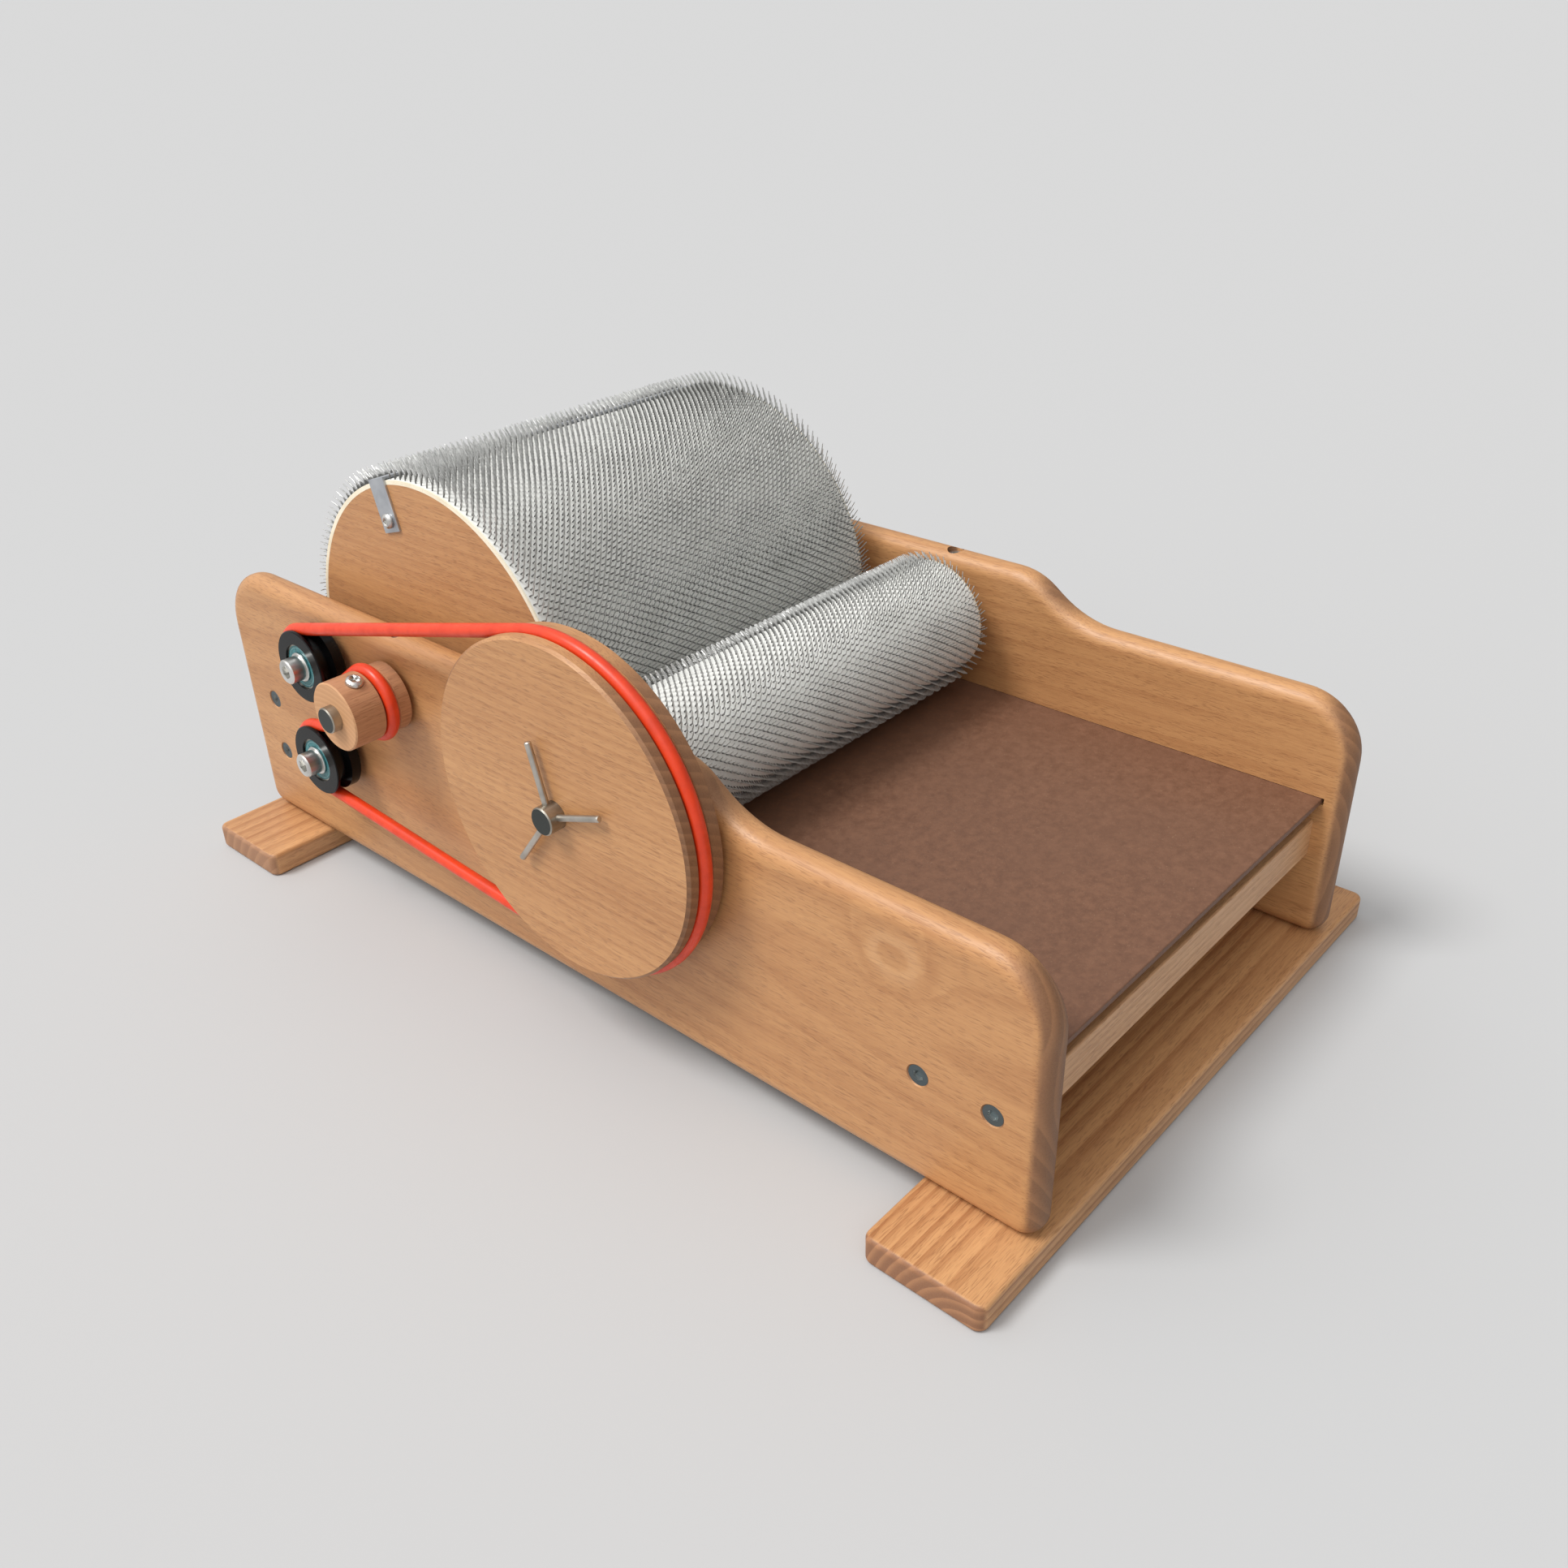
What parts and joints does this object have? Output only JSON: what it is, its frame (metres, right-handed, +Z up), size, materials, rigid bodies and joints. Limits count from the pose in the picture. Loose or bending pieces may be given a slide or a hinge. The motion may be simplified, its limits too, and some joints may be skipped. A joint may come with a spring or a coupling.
{
  "type": "drum carder",
  "caption": "Hand-cranked wooden drum carder: a toothed main drum and small licker-in between side boards, coupled by a round belt, with a feed tray and crank.",
  "frame": {"origin": "on the table the feet stand on, halfway between the side plates and halfway along them", "axes": "+X towards the crank side, -Y towards the feed tray, +Z up"},
  "size_m": [0.39, 0.4888, 0.219],
  "materials": {
    "side_beech": "oiled beech, satin",
    "foot_beech": "oiled beech, satin",
    "rail_beech": "oiled beech, satin",
    "disc_beech": "oiled beech, satin",
    "pulley_beech": "turned hardwood, satin",
    "drum_beech": "turned beech, satin",
    "handle_beech": "turned beech, satin",
    "tray_hardboard": "brown hardboard, satin",
    "cloth_backing": "rubber-faced card cloth, matt",
    "card_wire": "fine steel wire",
    "axle_steel": "ground steel",
    "zinc_screws": "zinc-plated steel",
    "seam_steel": "folded steel strip",
    "bronze": "sintered bronze",
    "idler_plastic": "black, gloss",
    "bearing_steel": "polished bearing steel",
    "belt_orange": "orange polyurethane, satin",
    "crank_steel": "dark painted steel"
  },
  "bodies": {
    "frame": {"left_side_plate": "side_beech", "right_side_plate": "side_beech", "front_foot": "foot_beech", "rear_foot": "foot_beech", "front_rail": "rail_beech", "rear_rail": "rail_beech", "feed_tray": "tray_hardboard", "rail_screws": "zinc_screws", "foot_screws": "zinc_screws", "axle_lock_screws": "zinc_screws", "main_axle_bushes": "bronze", "licker_in_bushes": "bronze", "idler_inner_rings": "bearing_steel", "idler_spacers": "axle_steel", "idler_washers": "zinc_screws", "idler_bolts": "crank_steel", "idler_nuts": "zinc_screws", "drive_belt": "belt_orange"},
    "main_drum": {"main_axle": "axle_steel", "main_axle_collars": "axle_steel", "main_axle_collar_screws": "zinc_screws", "main_drum_drive_pin": "axle_steel", "main_drum_left_disc": "drum_beech", "main_drum_right_disc": "drum_beech", "main_drum_shell": "drum_beech", "main_drum_foundation": "cloth_backing", "main_drum_teeth": "card_wire", "seam_strip": "seam_steel", "seam_strip_screws": "zinc_screws", "small_drive_pulley": "pulley_beech", "small_pulley_screw": "zinc_screws", "crank_arm": "crank_steel", "crank_hub_screw": "zinc_screws", "crank_spindle": "zinc_screws", "crank_spindle_nut": "zinc_screws"},
    "licker_in": {"licker_in_axle": "axle_steel", "licker_in_collars": "axle_steel", "licker_in_collar_screws": "zinc_screws", "licker_in_drive_pin": "axle_steel", "licker_in_roller": "drum_beech", "licker_in_foundation": "cloth_backing", "licker_in_teeth": "card_wire", "disc_pulley": "disc_beech", "driver_pins": "axle_steel"},
    "upper_idler": {"upper_idler_pulley": "idler_plastic", "upper_idler_bearing": "bearing_steel"},
    "lower_idler": {"lower_idler_pulley": "idler_plastic", "lower_idler_bearing": "bearing_steel"},
    "handle": {"crank_handle": "handle_beech"}
  },
  "joints": [
    {"name": "main_drum_spin", "type": "hinge", "parent": "frame", "child": "main_drum", "pos_m": [0, 0.1025, 0.1212], "axis": [1, 0, 0], "continuous": true},
    {"name": "licker_in_spin", "type": "hinge", "parent": "frame", "child": "licker_in", "pos_m": [0, -0.032, 0.1185], "axis": [1, 0, 0], "continuous": true},
    {"name": "upper_idler_spin", "type": "hinge", "parent": "frame", "child": "upper_idler", "pos_m": [0, 0.1515, 0.1255], "axis": [1, 0, 0], "continuous": true},
    {"name": "lower_idler_spin", "type": "hinge", "parent": "frame", "child": "lower_idler", "pos_m": [0, 0.155, 0.075], "axis": [1, 0, 0], "continuous": true},
    {"name": "handle_spin", "type": "hinge", "parent": "main_drum", "child": "handle", "pos_m": [0, 0.1025, 0.0212], "axis": [1, 0, 0], "continuous": true}
  ],
  "couplings": [
    {"joint": "licker_in_spin", "follows": "main_drum_spin", "ratio": -0.21478},
    {"joint": "upper_idler_spin", "follows": "main_drum_spin", "ratio": -0.91124},
    {"joint": "lower_idler_spin", "follows": "main_drum_spin", "ratio": -0.91124}
  ]
}
